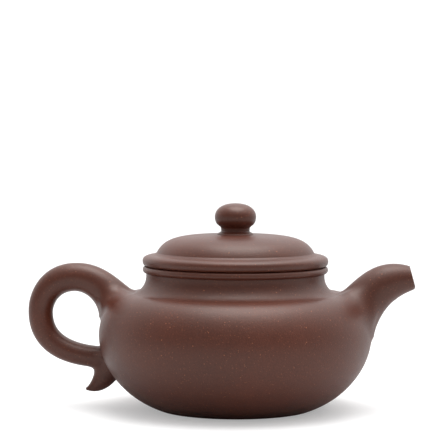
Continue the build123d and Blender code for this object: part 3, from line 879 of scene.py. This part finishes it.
def specks(tree, place, scale, size, share):
    """Mask of scattered grains: Voronoi cells of which only a share holds a dot of the given size."""
    node = tree.nodes.new("ShaderNodeTexVoronoi")
    node.inputs["Scale"].default_value = scale
    tree.links.new(place, node.inputs["Vector"])
    parts = tree.nodes.new("ShaderNodeSeparateColor")
    tree.links.new(node.outputs["Color"], parts.inputs[0])
    dot = ramp(tree, node.outputs["Distance"], size, size * 0.45)
    chosen = ramp(tree, parts.outputs[0], 1 - share, 1 - share + 0.02, "LINEAR")
    return sums(tree, "MULTIPLY", dot, chosen), parts.outputs[1]


DRIFT, CLOUD, MOTTLE, GRAIN = 28, 160, 1400, 3200     # sizes of the clay's unevenness, in features a metre
SAND, SMALL_SAND, PITS = 680, 1400, 900               # cells a metre, of which a share holds a grain or a pit
# Near-black laid where the relief dents the pits: partly the clay's own dark specks, partly painted shade in
# the pits.
PIT_SPECK_AND_SHADE_COLOUR = (0.012, 0.006, 0.005, 1)


def clay_body_group():
    """Node group for the fired clay: colour, roughness and relief of its sand and of its burnishing."""
    tree = bpy.data.node_groups.new("fired_clay_body", "ShaderNodeTree")
    colour_kind, value_kind = "NodeSocketColor", "NodeSocketFloat"
    for name, kind in (("Clay", colour_kind), ("Iron", colour_kind), ("Sand", colour_kind),
                       ("Rubbed", value_kind), ("Bare", value_kind), ("Grit", value_kind)):
        tree.interface.new_socket(name, in_out="INPUT", socket_type=kind)
    for name, kind in (("Colour", colour_kind), ("Roughness", value_kind), ("Relief", value_kind)):
        tree.interface.new_socket(name, in_out="OUTPUT", socket_type=kind)
    given = tree.nodes.new("NodeGroupInput").outputs
    out = tree.nodes.new("NodeGroupOutput").inputs
    place = tree.nodes.new("ShaderNodeTexCoord").outputs["Object"]
    drift = noise(tree, place, DRIFT, 2.0)
    cloud = noise(tree, place, CLOUD, 3.0, 0.6)
    mottle = noise(tree, place, MOTTLE, 3.0, 0.65)
    grain = noise(tree, place, GRAIN, 2.0, 0.6)
    sand_mask, sand_tone = specks(tree, place, SAND, 0.20, 0.34)
    small_mask, small_tone = specks(tree, place, SMALL_SAND, 0.27, 0.48)
    pit_mask, _ = specks(tree, place, PITS, 0.2, 0.12)

    colour = blend_colour(tree, ramp(tree, drift, 0.35, 0.68), given["Clay"], given["Iron"])
    shade = product(tree, scaled(tree, cloud, 0.30, 0.85), scaled(tree, mottle, 0.70, 0.65),
                    scaled(tree, grain, 0.80, 0.60))
    grey = tree.nodes.new("ShaderNodeCombineColor")
    for socket in grey.inputs:
        tree.links.new(shade, socket)
    colour = blend_colour(tree, 1.0, colour, grey.outputs[0], "MULTIPLY")
    for mask, tone, strength in ((small_mask, small_tone, 0.70), (sand_mask, sand_tone, 0.95)):
        colour = blend_colour(tree, product(tree, mask, tone, strength), colour, given["Sand"])
    # Darkens the colour in the pits that the relief dents: partly dark specks of the clay, partly painted
    # shade in the pits.
    colour = blend_colour(tree, product(tree, pit_mask, 0.55), colour, PIT_SPECK_AND_SHADE_COLOUR)
    tree.links.new(colour, out["Colour"])

    rough = scaled(tree, cloud, 0.10, 0.40)
    rough = sums(tree, "ADD", rough, product(tree, sums(tree, "SUBTRACT", grain, 0.5), 0.16))
    rough = sums(tree, "SUBTRACT", rough, product(tree, given["Rubbed"], 0.10))
    rough = sums(tree, "ADD", rough, product(tree, given["Bare"], 0.28))
    tree.links.new(rough, out["Roughness"])

    relief = product(tree, grain, 0.45)
    relief = sums(tree, "ADD", relief, product(tree, mottle, 0.7))
    relief = sums(tree, "ADD", relief, product(tree, sand_mask, 0.35))
    relief = sums(tree, "SUBTRACT", relief, product(tree, pit_mask, 0.8))
    coarse = sums(tree, "ADD", given["Grit"], product(tree, given["Bare"], 1.4))
    tree.links.new(product(tree, relief, coarse), out["Relief"])
    return tree


def clay_material(name, group, clay, iron, sand, grit):
    """Unglazed burnished clay: the shared clay body in a satin Principled shader."""
    made = bpy.data.materials.new(name)
    made.use_nodes = True
    tree = made.node_tree
    shader = tree.nodes["Principled BSDF"]
    body = tree.nodes.new("ShaderNodeGroup")
    body.node_tree = group
    body.inputs["Clay"].default_value = (*clay, 1)
    body.inputs["Iron"].default_value = (*iron, 1)
    body.inputs["Sand"].default_value = (*sand, 1)
    body.inputs["Grit"].default_value = grit
    for word, socket in (("rubbed", "Rubbed"), ("bare", "Bare")):
        read = tree.nodes.new("ShaderNodeAttribute")
        read.attribute_name = word
        tree.links.new(read.outputs["Fac"], body.inputs[socket])
    bump = tree.nodes.new("ShaderNodeBump")
    bump.inputs["Distance"].default_value = 0.0001
    bump.inputs["Strength"].default_value = 0.75
    tree.links.new(body.outputs["Relief"], bump.inputs["Height"])
    tree.links.new(bump.outputs["Normal"], shader.inputs["Normal"])
    tree.links.new(body.outputs["Colour"], shader.inputs["Base Color"])
    tree.links.new(body.outputs["Roughness"], shader.inputs["Roughness"])
    shader.inputs["IOR"].default_value = 1.5
    shader.inputs["Specular IOR Level"].default_value = 0.5
    shader.inputs["Specular Tint"].default_value = (1.0, 0.92, 0.87, 1)
    return made


LINED = -1.0              # bare on the lining alone


def mark_wear(piece, inside, touched):
    """Point attributes: rubbed, where hands and the lid polish it, and bare, where the clay was never
    burnished, which is underneath and inside of the radius half way through the wall."""
    mesh = piece.data
    count = len(mesh.vertices)
    places = np.empty(count * 3, np.float32)
    mesh.vertices.foreach_get("co", places)
    x, y, z = places.reshape(-1, 3).T / MM
    r = np.hypot(x, y)
    skin, lining = body_skin(), body_lining()
    middle_r = (np.interp(z, skin[:, 1], skin[:, 0]) + np.interp(z, lining[:, 1], lining[:, 0])) / 2
    inner = np.clip((middle_r - r) / 0.6, 0, 1) if inside == LINED else np.full(count, inside)
    under = np.clip(1.2 - z, 0, 1)
    bare = np.clip(inner + under, 0, 1)
    for word, values in (("rubbed", np.full(count, touched)), ("bare", bare)):
        layer = mesh.attributes.new(word, "FLOAT", "POINT")
        layer.data.foreach_set("value", values.astype(np.float32))


# ---- the teapot ----

body = turned_field(body_skin())
group = clay_body_group()
pot_clay = clay_material("pot_clay", group, clay=(0.077, 0.0200, 0.0110), iron=(0.092, 0.0225, 0.0115),
                         sand=(0.34, 0.105, 0.045), grit=1.0)
lid_clay = clay_material("lid_clay", group, clay=(0.077, 0.0205, 0.0115), iron=(0.090, 0.0225, 0.0120),
                         sand=(0.32, 0.10, 0.045), grit=0.9)

wall = make_wall()
open_hole(wall)
handle, grip = make_handle(body)
tail = make_tail(grip)
spout = make_spout(body)

# piece, body, slot, clay, nodes it replaces, share of bare clay, how much it is touched
pieces = (
    (wall, "pot", "clay", pot_clay, ("belly_wall", "shoulder_disc", "neck_collar"), LINED, 0.2),
    (make_foot_ring(), "pot", "clay", pot_clay, ("foot_ring",), 0.0, 0.3),
    (make_base(), "pot", "clay", pot_clay, ("base_disc",), 1.0, 0.0),
    (make_mouth_ring(), "pot", "clay", pot_clay, ("mouth_ring",), 0.0, 0.5),
    (spout, "pot", "clay", pot_clay, ("spout",), 0.0, 0.3),
    (make_strainer(), "pot", "clay", pot_clay, ("spout_strainer",), 1.0, 0.0),
    (handle, "pot", "clay", pot_clay, ("handle",), 0.0, 0.8),
    (tail, "pot", "clay", pot_clay, ("handle_tail",), 0.0, 0.3),
    (make_lid_plate(), "lid", "lid_clay", lid_clay, ("lid_plate",), 0.0, 0.5),
    (make_dome(), "lid", "lid_clay", lid_clay, ("lid_dome",), 0.0, 0.4),
    (make_flange(), "lid", "lid_clay", lid_clay, ("lid_flange",), 0.6, 0.0),
    (make_knob_foot(), "lid", "lid_clay", lid_clay, ("knob_foot",), 0.0, 0.2),
    (make_knob(), "lid", "lid_clay", lid_clay, ("knob",), 0.0, 0.9),
)
for piece, rides_on, slot, clay, nodes, inside, touched in pieces:
    mark_wear(piece, inside, touched)
    piece.data.materials.clear()
    piece.data.materials.append(clay)
    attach(piece, rides_on)
    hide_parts(*nodes)


# ---- floor, light and camera ----

def plain_floor(tone, lift):
    """Wide pale ground at the height of the foot, lifted a little to the eye so that shadows on it
    stay light."""
    bpy.ops.mesh.primitive_plane_add(size=12, location=(0, 0, 0))
    floor = bpy.context.object
    floor.name = "pale_floor"
    paint = bpy.data.materials.new("pale_ground")
    paint.use_nodes = True
    shader = paint.node_tree.nodes["Principled BSDF"]
    shader.inputs["Base Color"].default_value = (tone, tone, tone, 1)
    shader.inputs["Emission Color"].default_value = (lift, lift, lift, 1)
    seen = paint.node_tree.nodes.new("ShaderNodeLightPath")
    paint.node_tree.links.new(seen.outputs["Is Camera Ray"], shader.inputs["Emission Strength"])
    shader.inputs["Roughness"].default_value = 0.9
    shader.inputs["Specular IOR Level"].default_value = 0.1
    floor.data.materials.append(paint)


def softbox(name, place, aim, side, power):
    """A square area light looking at a point."""
    light = bpy.data.lights.new(name, "AREA")
    light.size = side
    light.energy = power
    lamp = bpy.data.objects.new(name, light)
    lamp.location = place
    lamp.rotation_mode = "QUATERNION"
    lamp.rotation_quaternion = (Vector(aim) - Vector(place)).to_track_quat("-Z", "Y")
    bpy.context.scene.collection.objects.link(lamp)


def studio_world(front, back, top, rightward, plain):
    """Studio surroundings by direction: dim in front, white behind, brightest overhead and to the right.
    Seen straight, they are a plain white."""
    world = bpy.data.worlds.new("studio")
    bpy.context.scene.world = world
    world.use_nodes = True
    tree = world.node_tree
    tree.nodes.clear()
    place = tree.nodes.new("ShaderNodeTexCoord").outputs["Generated"]
    parts = tree.nodes.new("ShaderNodeSeparateXYZ")
    tree.links.new(place, parts.inputs[0])
    behind = ramp(tree, parts.outputs["Y"], -0.6, 0.6)
    above = ramp(tree, parts.outputs["Z"], 0.35, 0.95)
    around = scaled(tree, behind, back - front, front)
    overhead = product(tree, above, top, scaled(tree, parts.outputs["X"], rightward, 1.0))
    lit = tree.nodes.new("ShaderNodeBackground")
    tree.links.new(sums(tree, "ADD", around, overhead), lit.inputs["Strength"])
    white = tree.nodes.new("ShaderNodeBackground")
    white.inputs["Strength"].default_value = plain
    for node in (lit, white):
        node.inputs["Color"].default_value = (1, 1, 1, 1)
    seen = tree.nodes.new("ShaderNodeLightPath")
    mix = tree.nodes.new("ShaderNodeMixShader")
    tree.links.new(seen.outputs["Is Camera Ray"], mix.inputs[0])
    tree.links.new(lit.outputs[0], mix.inputs[1])
    tree.links.new(white.outputs[0], mix.inputs[2])
    end = tree.nodes.new("ShaderNodeOutputWorld")
    tree.links.new(mix.outputs[0], end.inputs["Surface"])


def studio_camera():
    """Long lens a little above the pot, three quarters of a metre away and four degrees round towards
    the spout."""
    distance, height, turn = 0.740, 0.112, math.radians(4.0)
    pitch, aim, roll = 0.052, -0.00815, 0.003
    camera = bpy.data.cameras.new("view")
    camera.sensor_width = 36
    camera.lens = 155.7
    camera.clip_start, camera.clip_end = 0.05, 20
    holder = bpy.data.objects.new("view", camera)
    heading = turn - aim
    level = math.cos(pitch)
    forward = Vector((-math.sin(heading) * level, math.cos(heading) * level, -math.sin(pitch)))
    holder.location = (distance * math.sin(turn), -distance * math.cos(turn), height)
    holder.rotation_mode = "QUATERNION"
    holder.rotation_quaternion = forward.to_track_quat("-Z", "Y") @ Quaternion((0, 0, 1), roll)
    bpy.context.scene.collection.objects.link(holder)
    bpy.context.scene.camera = holder


plain_floor(tone=0.65, lift=0.35)
studio_world(front=0.30, back=1.15, top=0.85, rightward=0.7, plain=1.1)
softbox("overhead", (0.05, 0.0, 0.80), (0, 0, 0.03), side=0.55, power=4.2)
studio_camera()
view = bpy.context.scene.view_settings
view.view_transform = "Standard"
view.look = "None"
